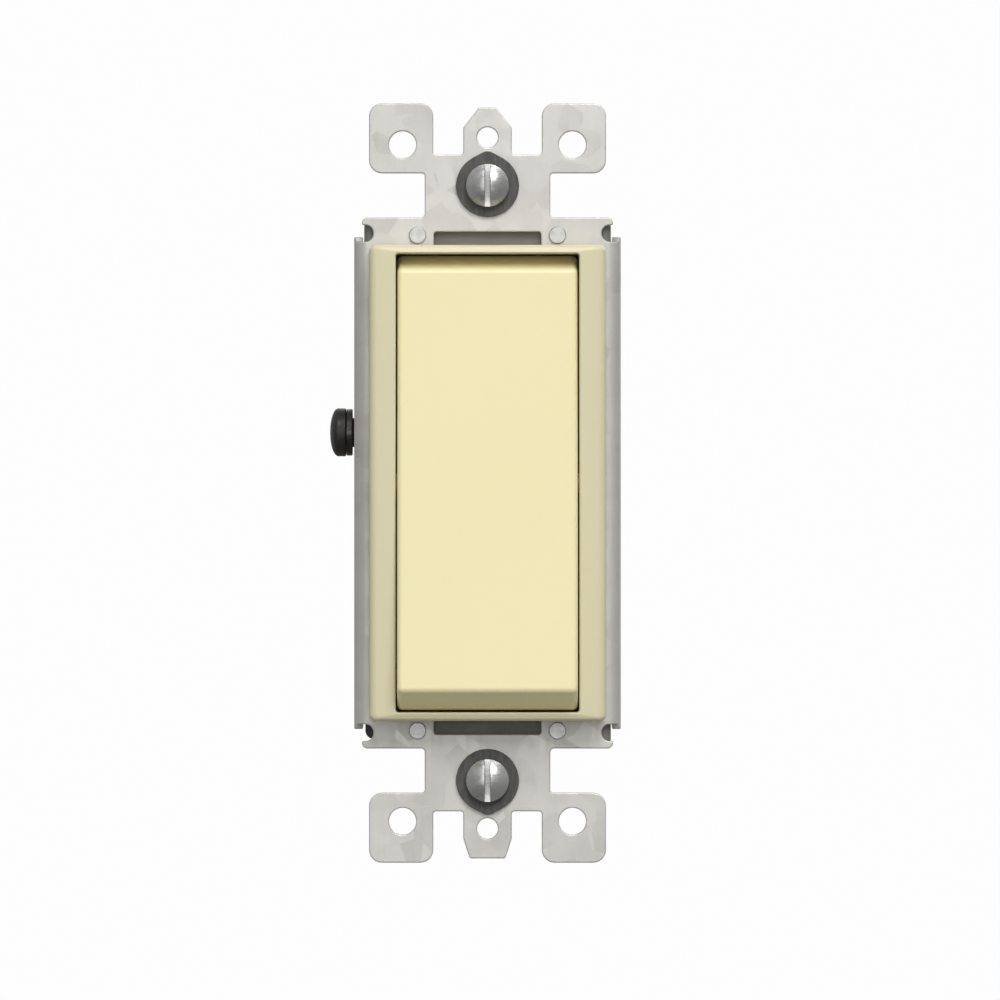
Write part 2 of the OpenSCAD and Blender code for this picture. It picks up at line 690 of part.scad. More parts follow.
module housing_base() color([0.16, 0.16, 0.17]) difference() {
    common_pocket = [common_lo - pocket_gap, common_hi + pocket_gap];
    upper_pocket = [traveller_z - traveller_half - pocket_gap, traveller_z + traveller_half + pocket_gap];
    lower_pocket = [-upper_pocket[1], -upper_pocket[0]];
    bridge_back = fulcrum_y + bridge_y + plate_t;
    inner = pocket_x - pocket_wall;
    notch_y = ground_y + 4;
    boss_r = rivet_r + 0.9;
    union() {
        difference() {
            span([-hous_x, hous_x], [cover_t, body_depth], [-hous_z, hous_z]);
            span([-hous_x + wall, hous_x - wall], [cover_t - over, floor_y], [-hous_z + wall, hous_z - wall]);
        }
        pocket_block(-1, common_pocket);
        pocket_block(1, upper_pocket);
        pocket_block(1, lower_pocket);
        for (x = [-1, 1] * rivet_x, s = [-1, 1])
            span(
                [x - boss_r, x + boss_r], [cover_t, floor_y + eps],
                s > 0 ? [rivet_z - boss_r, hous_z - eps] : [-hous_z + eps, -rivet_z + boss_r]
            );
        // walls round the ground notch, and the boss behind its screw
        intersection() {
            span([-hous_x, -inner + 3], [cover_t, notch_y + wall], [-hous_z, ground_z + ground_half + 2.2]);
            span([-hous_x, ground_x + strap_t + 1.9], [0, body_depth], [-hous_z, 0]);
        }
        span([ground_x, ground_x + 6.6], [ground_y - 3, ground_y + 3], [ground_z - 3, ground_z + 3]);
        // posts that carry the contacts and the fulcrum
        for (s = [-1, 1]) at_fulcrum(-s * arm_tilt)
            span([-2.5, 2.5], [tab_y + plate_t, floor_y - fulcrum_y - 0.4], [s * contact_z - 1.5, s * contact_z + 1.5]);
        span([-3.6, 3.6], [bridge_back, floor_y + eps], [common_lo + 0.5, -common_lo - 0.5]);
    }
    pocket_cut(-1, common_pocket);
    pocket_cut(1, upper_pocket);
    pocket_cut(1, lower_pocket);
    ground_notch([-over, notch_y]);
    rod_x(ground_r + 0.15, [ground_x, ground_x + 5.6], ground_y, ground_z);
    rivet_holes([0, body_depth + over]);
    // passages for the terminals' arms and screws
    passage = [inner - 0.1, pocket_x + 0.1];
    span([-passage[1], -passage[0]], [bridge_back - plate_t - 0.2, bridge_back + 0.2],
        [common_lo - 0.1, -common_lo + 0.1]);
    rod_x(screw_r + 0.2, [-pocket_x - over, -inner + over], screw_y, common_z);
    for (s = [-1, 1]) {
        slot = s > 0 ? [neck_z[0] - 0.6, neck_z[1] + 0.3] : [-neck_z[1] - 0.3, -neck_z[0] + 0.6];
        span(passage, [fulcrum_y + tab_y + 0.4, fulcrum_y + tab_y + plate_t + 1.8], slot);
        rod_x(screw_r + 0.2, [inner - over, pocket_x + over], screw_y, s * traveller_z);
    }
    // push-in wire holes and their release slots
    for (p = [[wire_x, wire_z], [wire_x, -wire_z], [-wire_x, 0]]) {
        rod_y(wire_hole_r, p[0], [floor_y - over, body_depth + over], p[1]);
        release_x = abs(p[0]) - 3.4;
        release = p[0] > 0 ? [release_x, release_x + 1.2] : [-release_x - 1.2, -release_x];
        span(release, [floor_y - over, body_depth + over], [p[1] - 1.6, p[1] + 1.6]);
    }
}

// A leaf spring that bites on a pushed-in wire: a foot on the floor and a leg that leans to the wire
module push_in_spring(s, z) color([0.72, 0.72, 0.70]) {
    leaf_t = 0.4;
    leaf_w = 4;
    foot_x = wire_x - 6.4;
    leg_len = 4.4;
    mirror([s < 0 ? 1 : 0, 0, 0]) along_z([z - leaf_w / 2, z + leaf_w / 2]) {
        translate([foot_x, floor_y - leaf_t]) square([2.4, leaf_t]);
        translate([foot_x, floor_y - leaf_t / 2]) circle(leaf_t / 2);
        translate([foot_x, floor_y - leaf_t / 2]) rotate(-32) translate([0, -leaf_t / 2]) square([leg_len, leaf_t]);
    }
}

strap();
strap_rivets();
bezel();
rocker_paddle();
plunger();
plunger_spring();
travel_bumpers();
contact_arm();
moving_contacts();
fulcrum_pin();
common_terminal();
traveller_terminal(1);  // traveller_terminal_upper
traveller_terminal(-1);  // traveller_terminal_lower
fixed_contacts();
common_screw();
traveller_screw(1);  // traveller_screw_upper
traveller_screw(-1);  // traveller_screw_lower
ground_screw();
mounting_screw(1);  // mounting_screw_upper
mounting_screw(-1);  // mounting_screw_lower
screw_retainer(1);  // screw_retainer_upper
screw_retainer(-1);  // screw_retainer_lower
housing_base();
housing_cover();
push_in_spring(-1, 0);  // push_in_spring_common
push_in_spring(1, wire_z);  // push_in_spring_upper
push_in_spring(1, -wire_z);  // push_in_spring_lower
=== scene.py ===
"""Looks for a rocker light switch on its mounting strap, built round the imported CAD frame."""

import json
import math

import bmesh
import bpy
from mathutils import Matrix, Vector


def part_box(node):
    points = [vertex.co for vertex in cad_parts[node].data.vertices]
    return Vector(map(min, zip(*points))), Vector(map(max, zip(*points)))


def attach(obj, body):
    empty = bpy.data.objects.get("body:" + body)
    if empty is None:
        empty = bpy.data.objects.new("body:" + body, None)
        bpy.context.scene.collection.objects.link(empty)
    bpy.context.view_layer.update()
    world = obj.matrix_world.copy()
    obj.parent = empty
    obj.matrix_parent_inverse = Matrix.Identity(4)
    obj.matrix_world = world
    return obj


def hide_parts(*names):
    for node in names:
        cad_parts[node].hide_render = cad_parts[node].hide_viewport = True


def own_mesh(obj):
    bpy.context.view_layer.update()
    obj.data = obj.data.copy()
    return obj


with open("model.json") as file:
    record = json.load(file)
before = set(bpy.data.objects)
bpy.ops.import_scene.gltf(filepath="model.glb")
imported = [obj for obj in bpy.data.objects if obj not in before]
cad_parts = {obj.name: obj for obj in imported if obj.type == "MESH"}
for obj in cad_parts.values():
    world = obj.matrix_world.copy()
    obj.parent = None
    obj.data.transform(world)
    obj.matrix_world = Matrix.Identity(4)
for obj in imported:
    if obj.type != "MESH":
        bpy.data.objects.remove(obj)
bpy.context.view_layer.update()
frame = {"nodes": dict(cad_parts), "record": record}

MM = 0.001
SLOT_OF = {row["node"]: row["material_slot"] for row in frame["record"]["subparts"]}


def body_of(node):
    """The body that a CAD node rides on."""
    return [name for name, body in frame["record"]["behaviour"]["bodies"].items() if node in body][0]


# ---- Materials ----


class Recipe:
    """A material being made: a Principled shader, object coordinates and short ways to add nodes."""

    def __init__(self, name, color, roughness, metallic=0.0):
        self.material = bpy.data.materials.new(name)
        self.material.use_nodes = True
        self.tree = self.material.node_tree
        self.shader = self.tree.nodes["Principled BSDF"]
        self.set("Base Color", (*color, 1.0))
        self.set("Roughness", roughness)
        self.set("Metallic", metallic)
        self.place = self.add("ShaderNodeTexCoord").outputs["Object"]

    def add(self, kind, **values):
        node = self.tree.nodes.new(kind)
        for key, value in values.items():
            setattr(node, key, value)
        return node

    def set(self, socket, value):
        self.shader.inputs[socket].default_value = value

    def link(self, output, socket):
        self.tree.links.new(output, socket)

    def drive(self, socket, output):
        self.link(output, self.shader.inputs[socket])

    def stretched(self, scale):
        """Object coordinates, scaled differently along each axis."""
        mapping = self.add("ShaderNodeMapping")
        mapping.inputs["Scale"].default_value = scale
        self.link(self.place, mapping.inputs["Vector"])
        return mapping.outputs["Vector"]

    def noise(self, size, detail=4.0, rough=0.55, place=None):
        """Noise with features of about this size, in metres."""
        node = self.add("ShaderNodeTexNoise")
        node.inputs["Scale"].default_value = 1.0 / size
        node.inputs["Detail"].default_value = detail
        node.inputs["Roughness"].default_value = rough
        self.link(place or self.place, node.inputs["Vector"])
        return node.outputs["Fac"]

    def cells(self, size, output="Color"):
        node = self.add("ShaderNodeTexVoronoi")
        node.inputs["Scale"].default_value = 1.0 / size
        self.link(self.place, node.inputs["Vector"])
        return node.outputs[output]

    def remap(self, value, low, high, to_low, to_high):
        node = self.add("ShaderNodeMapRange")
        for key, number in (("From Min", low), ("From Max", high), ("To Min", to_low), ("To Max", to_high)):
            node.inputs[key].default_value = number
        self.link(value, node.inputs["Value"])
        return node.outputs["Result"]

    def mix(self, factor, color_a, color_b):
        """A colour between two, each a triple or an output."""
        node = self.add("ShaderNodeMix", data_type="RGBA")
        self.link(factor, node.inputs["Factor"])
        for key, color in (("A", color_a), ("B", color_b)):
            socket = [i for i in node.inputs if i.name == key and i.type == "RGBA"][0]
            if isinstance(color, tuple):
                socket.default_value = (*color, 1.0)
            else:
                self.link(color, socket)
        return [o for o in node.outputs if o.type == "RGBA"][0]

    def math(self, operation, a, b):
        node = self.add("ShaderNodeMath", operation=operation)
        for socket, value in zip(node.inputs, (a, b)):
            if isinstance(value, (int, float)):
                socket.default_value = value
            else:
                self.link(value, socket)
        return node.outputs["Value"]

    def bump(self, height, depth, normal=None):
        """A bump of this depth in metres."""
        node = self.add("ShaderNodeBump")
        node.inputs["Distance"].default_value = depth
        self.link(height, node.inputs["Height"])
        if normal:
            self.link(normal, node.inputs["Normal"])
        return node.outputs["Normal"]

    def cavities(self, reach):
        """Up to 1 in slots, threads and corners narrower than about this reach, and 0 in the open: an
        ambient-occlusion mask for painted shade.
        """
        shade = self.add("ShaderNodeAmbientOcclusion", samples=8, only_local=True)
        shade.inputs["Distance"].default_value = reach
        return self.remap(shade.outputs["AO"], 0.4, 0.75, 0.8, 0.0)

    def worn_edges(self, width, low=0.53, high=0.62):
        """Up to 1 on outward edges and 0 elsewhere, in patches of about this width."""
        geometry = self.add("ShaderNodeNewGeometry")
        edge = self.remap(geometry.outputs["Pointiness"], low, high, 0.0, 1.0)
        patchy = self.remap(self.noise(width, 5.0), 0.35, 0.7, 0.2, 1.0)
        return self.math("MULTIPLY", edge, patchy)


def moulded_plastic(name, color, shade, roughness, skin=0.010, glow=0.08):
    """Glossy moulded plastic: a faint flow of tone, an orange-peel skin and slightly varied gloss."""
    r = Recipe(name, color, roughness)
    flow = r.remap(r.noise(26 * MM, 1.0), 0.1, 0.9, 0.0, 0.7)
    fine = r.remap(r.noise(0.9 * MM, 3.0), 0.1, 0.9, 0.0, 0.3)
    r.drive("Base Color", r.mix(r.math("ADD", flow, fine), color, shade))
    r.drive("Roughness", r.remap(r.noise(7 * MM, 1.0), 0.1, 0.9, roughness - 0.03, roughness + 0.03))
    peel = r.bump(r.noise(1.1 * MM, 3.0, 0.6), skin * MM)
    r.drive("Normal", r.bump(r.noise(0.22 * MM, 2.0), 0.35 * skin * MM, peel))
    r.set("Subsurface Weight", glow)
    r.set("Subsurface Radius", (1.0, 0.75, 0.35))
    r.set("Subsurface Scale", 0.8 * MM)
    return r.material


def textured_plastic(name, color, shade, roughness):
    """Dull moulded thermoset: spark-eroded grain, paler flow marks and rubbed edges."""
    r = Recipe(name, color, roughness)
    flow = r.remap(r.noise(9 * MM, 5.0), 0.4, 0.7, 0.0, 0.8)
    r.drive("Base Color", r.mix(r.math("MAXIMUM", flow, r.worn_edges(1.5 * MM)), color, shade))
    r.drive("Roughness", r.remap(r.noise(2.5 * MM, 4.0), 0.3, 0.7, roughness - 0.08, roughness + 0.08))
    grain = r.bump(r.noise(0.35 * MM, 3.0, 0.7), 0.02 * MM)
    r.drive("Normal", r.bump(r.cells(0.5 * MM, output="Distance"), 0.008 * MM, grain))
    return r.material


def galvanised(name, light, dark, cut, roughness):
    """Zinc-coated sheet: soft spangle, rolling lines along Z, scuffs, and brighter cut edges."""
    r = Recipe(name, light, roughness, metallic=0.6)
    grey = r.add("ShaderNodeRGBToBW")
    r.link(r.cells(3.2 * MM), grey.inputs["Color"])
    cloud = r.remap(r.noise(7 * MM, 5.0), 0.3, 0.7, 0.0, 1.0)
    tone = r.mix(r.math("MULTIPLY", grey.outputs["Val"], cloud), light, dark)
    r.drive("Base Color", r.mix(r.worn_edges(0.8 * MM), tone, cut))
    rolling = r.noise(0.5 * MM, 3.0, 0.6, place=r.stretched((1.0, 1.0, 0.06)))
    spangle = r.remap(grey.outputs["Val"], 0.0, 1.0, -0.06, 0.08)
    gloss = r.math("ADD", spangle, r.remap(rolling, 0.3, 0.7, -0.04, 0.05))
    r.drive("Roughness", r.math("ADD", gloss, roughness))
    lines = r.bump(rolling, 0.004 * MM)
    r.drive("Normal", r.bump(r.noise(0.8 * MM, 6.0, 0.7), 0.006 * MM, lines))
    return r.material


def plated(name, light, dark, roughness, shaded_corners=True):
    """Plated or stamped metal: slight tarnish, fine drawn lines, varied gloss, and painted shade in its
    corners.
    """
    r = Recipe(name, light, roughness, metallic=1.0)
    tarnish = r.remap(r.noise(2.2 * MM, 6.0, 0.62), 0.42, 0.72, 0.0, 1.0)
    bright, painted_shade = tuple(min(1.0, 1.12 * c) for c in light), tuple(0.22 * c for c in dark)
    tone = r.mix(r.worn_edges(0.4 * MM), r.mix(tarnish, light, dark), bright)
    # Painted shade: the colour goes dark, to about a fifth of the dark tone, in slots, threads and corners
    # that the AO node finds shaded.
    r.drive("Base Color", r.mix(r.cavities(1.3 * MM), tone, painted_shade) if shaded_corners else tone)
    lines = r.noise(0.3 * MM, 4.0, 0.6, place=r.stretched((0.12, 1.0, 1.0)))
    r.drive("Roughness", r.remap(lines, 0.3, 0.7, roughness - 0.07, roughness + 0.09))
    r.drive("Normal", r.bump(lines, 0.003 * MM))
    return r.material


def dyed_metal(name, color, worn, roughness):
    """Black oxide or dyed plating: dull, mottled, and rubbed through to metal on its edges."""
    r = Recipe(name, color, roughness, metallic=0.55)
    mottle = r.remap(r.noise(1.2 * MM, 6.0, 0.65), 0.35, 0.75, 0.0, 0.6)
    paler = tuple(1.9 * c + 0.01 for c in color)
    r.drive("Base Color", r.mix(r.worn_edges(0.35 * MM, 0.56, 0.74), r.mix(mottle, color, paler), worn))
    r.drive("Roughness", r.remap(r.noise(0.7 * MM, 5.0), 0.3, 0.7, roughness - 0.08, roughness + 0.12))
    r.drive("Normal", r.bump(r.noise(0.3 * MM, 4.0, 0.7), 0.006 * MM))
    return r.material


def fibre(name, color, shade):
    """Vulcanised fibre: matted threads, rough and a little fuzzy."""
    r = Recipe(name, color, 0.82)
    threads = r.noise(0.5 * MM, 7.0, 0.75, place=r.stretched((1.0, 1.0, 0.25)))
    r.drive("Base Color", r.mix(r.remap(threads, 0.4, 0.7, 0.0, 1.0), color, shade))
    r.set("Sheen Weight", 0.15)
    r.drive("Normal", r.bump(threads, 0.03 * MM))
    return r.material


def rubber(name, color, dust):
    """Matte rubber with a bloom of dust."""
    r = Recipe(name, color, 0.78)
    r.drive("Base Color", r.mix(r.remap(r.noise(0.9 * MM, 6.0), 0.45, 0.8, 0.0, 0.7), color, dust))
    r.drive("Normal", r.bump(r.noise(0.25 * MM, 4.0), 0.02 * MM))
    return r.material


LOOKS = {
    "paddle_plastic": moulded_plastic("paddle_ivory", (0.890, 0.805, 0.480), (0.865, 0.775, 0.448), 0.30),
    # Painted shade: the bezel's ivory is a darker copy of the paddle's, standing for the shade on the bezel,
    # which lies behind the paddle.
    "bezel_plastic": moulded_plastic("bezel_ivory_shaded", (0.700, 0.652, 0.432), (0.672, 0.624, 0.410), 0.34),
    # The sheet's grey is a little warm: zinc colour with, in part, a painted reflection of the ivory plastic
    # beside it.
    "galvanised_steel": galvanised(
        "galvanised_sheet", (0.62, 0.61, 0.575), (0.50, 0.49, 0.46), (0.70, 0.69, 0.66), 0.50
    ),
    "rivet_steel": plated("plain_steel", (0.58, 0.58, 0.57), (0.42, 0.42, 0.41), 0.46),
    "zinc_screw": plated("zinc_plate", (0.58, 0.58, 0.575), (0.42, 0.42, 0.415), 0.27),
    "brass_screw": plated("brass_plate", (0.78, 0.56, 0.23), (0.55, 0.36, 0.13), 0.28),
    "terminal_brass": plated("terminal_strip", (0.76, 0.55, 0.24), (0.56, 0.37, 0.14), 0.34),
    "contact_brass": plated("contact_strip", (0.78, 0.57, 0.26), (0.60, 0.41, 0.17), 0.30),
    "contact_silver": plated("silver_button", (0.86, 0.85, 0.82), (0.60, 0.58, 0.54), 0.26),
    "spring_steel": plated("spring_wire", (0.52, 0.52, 0.53), (0.36, 0.36, 0.37), 0.30, shaded_corners=False),
    "black_screw": dyed_metal("black_oxide", (0.034, 0.031, 0.029), (0.30, 0.29, 0.28), 0.42),
    "green_screw": dyed_metal("green_dye", (0.030, 0.165, 0.060), (0.42, 0.45, 0.40), 0.38),
    "plunger_nylon": moulded_plastic("nylon", (0.80, 0.79, 0.72), (0.74, 0.73, 0.66), 0.42),
    "bumper_rubber": rubber("black_rubber", (0.018, 0.018, 0.018), (0.07, 0.07, 0.068)),
    "retainer_fibre": fibre("dark_fibre", (0.060, 0.060, 0.056), (0.120, 0.118, 0.110)),
    "housing_plastic": textured_plastic(
        "housing_thermoset", (0.030, 0.030, 0.032), (0.060, 0.060, 0.062), 0.52
    ),
    "cover_plastic": textured_plastic(
        "cover_thermoset", (0.150, 0.146, 0.129), (0.195, 0.190, 0.168), 0.58
    ),
}


# ---- Outlines, in millimetres ----


def corner_arc(before, corner, after, radius, steps=6):
    """Points that round one corner of an outline."""
    u = (Vector(before) - Vector(corner)).normalized()
    v = (Vector(after) - Vector(corner)).normalized()
    half = u.angle(v) / 2
    center = Vector(corner) + (u + v).normalized() * (radius / math.sin(half))
    first = Vector(corner) + u * (radius / math.tan(half)) - center
    last = Vector(corner) + v * (radius / math.tan(half)) - center
    turn = first.angle_signed(last)
    return [tuple(center + Matrix.Rotation(-turn * i / steps, 2) @ first) for i in range(steps + 1)]


def rounded(corners):
    """An outline whose corners are (a, b, radius), with arcs where the radius isn't 0."""
    points = []
    for i, (a, b, radius) in enumerate(corners):
        before, after = corners[i - 1][:2], corners[(i + 1) % len(corners)][:2]
        points += corner_arc(before, (a, b), after, radius) if radius else [(a, b)]
    return points


def circle(center, radius, steps=40):
    turns = [2 * math.pi * i / steps for i in range(steps)]
    return [(center[0] + radius * math.cos(t), center[1] + radius * math.sin(t)) for t in turns]


def rectangle(a, b, radius):
    return rounded([(a[0], b[0], radius), (a[1], b[0], radius), (a[1], b[1], radius), (a[0], b[1], radius)])


# ---- Meshes, in millimetres until link_mesh ----


def along(axis):
    """Turns a shape drawn in its own X and Y, and thick along Z, to be thick along an axis of the frame."""
    return {
        "y": Matrix(((1, 0, 0, 0), (0, 0, 1, 0), (0, 1, 0, 0), (0, 0, 0, 1))),
        "x": Matrix(((0, 0, 1, 0), (1, 0, 0, 0), (0, 1, 0, 0), (0, 0, 0, 1))),
        "z": Matrix.Identity(4),
    }[axis]


def slab(outlines, span, edge, axis="y"):
    """A plate with holes and rounded edges: outlines in the two other axes, and span along the axis."""
    curve = bpy.data.curves.new("outline", "CURVE")
    curve.dimensions = "2D"
    curve.fill_mode = "BOTH"
    curve.extrude = (span[1] - span[0]) / 2 - edge
    curve.bevel_depth = edge
    curve.bevel_resolution = 2
    curve.offset = -edge
    for outline in outlines:
        spline = curve.splines.new("POLY")
        spline.points.add(len(outline) - 1)
        for knot, point in zip(spline.points, outline):
            knot.co = (*point, 0.0, 1.0)
        spline.use_cyclic_u = True
    holder = bpy.data.objects.new("outline", curve)
    bpy.context.scene.collection.objects.link(holder)
    mesh = bpy.data.meshes.new_from_object(holder.evaluated_get(bpy.context.evaluated_depsgraph_get()))
    bpy.data.objects.remove(holder)
    bm = bmesh.new()
    bm.from_mesh(mesh)
    bmesh.ops.remove_doubles(bm, verts=bm.verts, dist=0.0005)
    bmesh.ops.translate(bm, verts=bm.verts, vec=(0, 0, (span[0] + span[1]) / 2))
    bm.normal_update()
    for e in bm.edges:
        flat = [abs(f.normal.z) > 0.999 for f in e.link_faces]
        e.smooth = len(set(flat)) < 2
    bmesh.ops.transform(bm, verts=bm.verts, matrix=along(axis))
    return bm


def loft(rings, cap=True):
    """Joins rings of equally many points, each to the next, and closes the first and last."""
    bm = bmesh.new()
    rows = [[bm.verts.new(p) for p in ring] for ring in rings]
    for row, after in zip(rows, rows[1:]):
        for i in range(len(row)):
            bm.faces.new((row[i - 1], row[i], after[i], after[i - 1]))
    if cap:
        bm.faces.new(rows[0])
        bm.faces.new(rows[-1])
    return bm


def turned(profile, axis="y", steps=48):
    """A solid of revolution. The profile's points are (radius, place along the axis), from end to end."""
    turns = [2 * math.pi * i / steps for i in range(steps)]
    bm = loft([[(r * math.cos(t), r * math.sin(t), h) for t in turns] for r, h in profile])
    bmesh.ops.transform(bm, verts=bm.verts, matrix=along(axis))
    return bm


def threaded(radius, span, pitch=0.794, steps=28, per_turn=8):
    """A screw's threaded shank along Z, with a rounded crest, a flat root and a tapered tip at span[1]."""
    depth = 0.6 * pitch
    count = int(per_turn * (span[1] - span[0]) / pitch)
    rings = []
    for j in range(count + 1):
        h = span[0] + (span[1] - span[0]) * j / count
        tip = min(1.0, (span[1] - h) / (1.5 * pitch))
        start = min(1.0, (h - span[0]) / pitch)
        ring = []
        for k in range(steps):
            phase = (h / pitch - k / steps) % 1.0
            groove = max(0.0, min(1.0, 2.6 * abs(phase - 0.5) - 0.15)) * start
            r = (radius - depth * groove) * (0.78 + 0.22 * tip)
            ring.append((r * math.cos(2 * math.pi * k / steps), r * math.sin(2 * math.pi * k / steps), h))
        rings.append(ring)
    return loft(rings)


def block(x, y, z, edge):
    return slab([rectangle(x, z, min(edge, 0.2))], y, edge)


def joined(*parts):
    """One bmesh of several."""
    whole = bmesh.new()
    for part in parts:
        mesh = bpy.data.meshes.new("part")
        part.to_mesh(mesh)
        part.free()
        whole.from_mesh(mesh)
        bpy.data.meshes.remove(mesh)
    return whole


def cut(bm, tool, how="DIFFERENCE"):
    """The solid less the tool, or what the two share."""
    holders = []
    for part in (bm, tool):
        bmesh.ops.recalc_face_normals(part, faces=part.faces)
        mesh = bpy.data.meshes.new("part")
        part.to_mesh(mesh)
        part.free()
        holders.append(bpy.data.objects.new("part", mesh))
        bpy.context.scene.collection.objects.link(holders[-1])
    step = holders[0].modifiers.new("cut", "BOOLEAN")
    step.object = holders[1]
    step.solver = "EXACT"
    step.operation = how
    seen = holders[0].evaluated_get(bpy.context.evaluated_depsgraph_get())
    result = bpy.data.meshes.new_from_object(seen)
    for holder in holders:
        bpy.data.objects.remove(holder)
    out = bmesh.new()
    out.from_mesh(result)
    return out


def moved(bm, *steps):
    for step in steps:
        bmesh.ops.transform(bm, verts=bm.verts, matrix=step)
    return bm


def link_mesh(name, bm, node, smooth_angle=32.0):
    """Makes the piece that stands for a CAD node, in metres, with rounded-looking normals, and rides it."""
    bmesh.ops.recalc_face_normals(bm, faces=bm.faces)
    for edge in bm.edges:
        level = len(edge.link_faces) == 2 and edge.calc_face_angle(0.0) < math.radians(smooth_angle)
        edge.smooth = level and edge.smooth
    for face in bm.faces:
        face.smooth = True
    bmesh.ops.scale(bm, verts=bm.verts, vec=(MM, MM, MM))
    mesh = bpy.data.meshes.new(name)
    bm.to_mesh(mesh)
    bm.free()
    piece = bpy.data.objects.new(name, mesh)
    bpy.context.scene.collection.objects.link(piece)
    mesh.materials.append(LOOKS[SLOT_OF[node]])
    weighted = piece.modifiers.new("weighted", "WEIGHTED_NORMAL")
    weighted.keep_sharp = True
    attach(piece, body_of(node))
    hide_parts(node)
    return piece


def cad_mesh(node):
    """A copy of a CAD node's mesh, with its flat faces whole again."""
    bm = bmesh.new()
    bm.from_mesh(frame["nodes"][node].data)
    bmesh.ops.scale(bm, verts=bm.verts, vec=(1 / MM, 1 / MM, 1 / MM))
    bmesh.ops.remove_doubles(bm, verts=bm.verts, dist=0.0005)
    bmesh.ops.dissolve_limit(bm, angle_limit=math.radians(0.05), verts=bm.verts, edges=bm.edges)
    return bm


def softened(node, name, radius):
    """A copy of a CAD node with its sharp edges rounded."""
    piece = link_mesh(name, cad_mesh(node), node)
    edge = piece.modifiers.new("edge", "BEVEL")
    edge.width = radius * MM
    edge.segments = 2
    edge.use_clamp_overlap = False
    edge.limit_method = "ANGLE"
    edge.angle_limit = math.radians(35)
    piece.modifiers.move(1, 0)
    return piece


# ---- Sizes, in millimetres ----


def limits(node, axis):
    low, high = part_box(node)
    return low[axis] / MM, high[axis] / MM


STRAP_Z = limits("strap", 2)[1]
SIDE_X = limits("strap", 0)[1]
STRAP_Y = limits("strap", 1)[0]
BEZEL_X, BEZEL_Z = limits("bezel", 0)[1], STRAP_Z - 19.95
BEZEL_Y = limits("bezel", 1)[0]
BOX_SCREW_Z = STRAP_Z - 11.55
RIM_W, END_WALL, SIDE_WALL, RIM_T = 3.7, 1.25, 1.5, 1.8
OPEN_X, OPEN_Z = BEZEL_X - RIM_W, BEZEL_Z - END_WALL
TILT = math.radians(-4)
PIVOT_Y = STRAP_Y - 2.1
BEND_R = 0.8
FLANGE_Y = 5.5
MID_Z = BOX_SCREW_Z - 4.45
RELIEF_Z = MID_Z - 2.2
GROUND_X, GROUND_Y, GROUND_Z = -OPEN_X - 1, FLANGE_Y + 4, -OPEN_Z + 3.2

# The least radius in a turned profile, which stands for a point on the axis
AXIS = 0.02

AT_PIVOT = Matrix.Translation((0, PIVOT_Y, 0)) @ Matrix.Rotation(TILT, 4, "X")
UPSIDE_DOWN = Matrix.Scale(-1, 4, (0, 0, 1))


# ---- Strap ----

BEND_LEN = math.pi / 2 * (BEND_R - STRAP_Y / 2)


def bent(x, y, start):
    """Where a point of the flat sheet goes when what lies past start is bent back through a right angle."""
    over = x - start
    arm = BEND_R - y
    if over <= 0:
        return x, y
    if over < BEND_LEN:
        turn = math.pi / 2 * over / BEND_LEN
        return start + arm * math.sin(turn), BEND_R - arm * math.cos(turn)
    return start + arm, BEND_R + over - BEND_LEN


def strap_half(tip_w):
    """The right half of the strap's upper or lower end, from the flange up to the tip."""
    flat_x = SIDE_X - BEND_R + STRAP_Y + BEND_LEN + FLANGE_Y - BEND_R
    flange_z, relief_low, relief_high = MID_Z - 2.7, RELIEF_Z - 1.2, RELIEF_Z + 1.15
    relief_x, relief_r, lip_x, foot_x = 16.0, 1.1, 17.6, 18.3
    ear_z = BOX_SCREW_Z + 1.75
    band_z = ear_z + 2.6
    ear_x, ear_in, ear_r = 16.6, 7.6, 1.8
    neck_x, tab_x, inner = 8.8, 3.4, 0.4
    return [
        (flat_x, flange_z, 0.9), (foot_x, flange_z, 0.3), (foot_x - 0.3, relief_low, 0.3),
        (relief_x, relief_low, relief_r), (relief_x, relief_high, relief_r), (lip_x, relief_high, 0.2),
        (lip_x, MID_Z, 0.8), (neck_x, MID_Z, 0.5), (neck_x, ear_z, inner), (ear_x, ear_z, ear_r),
        (ear_x, STRAP_Z, ear_r), (ear_in, STRAP_Z, ear_r), (ear_in, band_z, inner), (tab_x, band_z, inner),
        (tab_x, STRAP_Z - 3.4, 0.5), (tip_w / 2, STRAP_Z - 0.6, inner),
    ]


def mirrored(corners, sx, sz):
    """Corners mirrored in X, in Z or in both, in the order that keeps the outline running one way."""
    flipped = [(sx * x, sz * z, r) for x, z, r in corners]
    return flipped[::-1] if sx * sz < 0 else flipped


def strap_outline():
    top, bottom = strap_half(2.4), strap_half(5.0)
    return rounded(
        mirrored(top, 1, 1) + mirrored(top, -1, 1) + mirrored(bottom, -1, -1) + mirrored(bottom, 1, -1)
    )


def strap_window():
    """The window for the mechanism, with a latch's slot at each end and the flat tab for the ground screw."""
    slot_x, slot_z, inner = 7.5, OPEN_Z + 3.2, 0.4
    bend_x = GROUND_X - BEND_R
    tab_x = bend_x + BEND_LEN + GROUND_Y + 3.6 - BEND_R
    low, high, gap, corner = GROUND_Z - 2.9, GROUND_Z + 2.9, 0.5, 0.2
    notch_x = bend_x - 0.3
    return rounded([
        (OPEN_X, OPEN_Z, inner), (slot_x, OPEN_Z, inner), (slot_x, slot_z, inner), (-slot_x, slot_z, inner),
        (-slot_x, OPEN_Z, inner), (-OPEN_X, OPEN_Z, inner), (-OPEN_X, high + gap, inner),
        (notch_x, high + gap, corner), (notch_x, high, corner), (tab_x, high, 1.2), (tab_x, low, 1.2),
        (notch_x, low, corner), (notch_x, low - gap, corner), (-slot_x, low - gap, corner),
        (-slot_x, -slot_z, inner), (slot_x, -slot_z, inner), (slot_x, -OPEN_Z, inner),
        (OPEN_X, -OPEN_Z, inner),
    ])


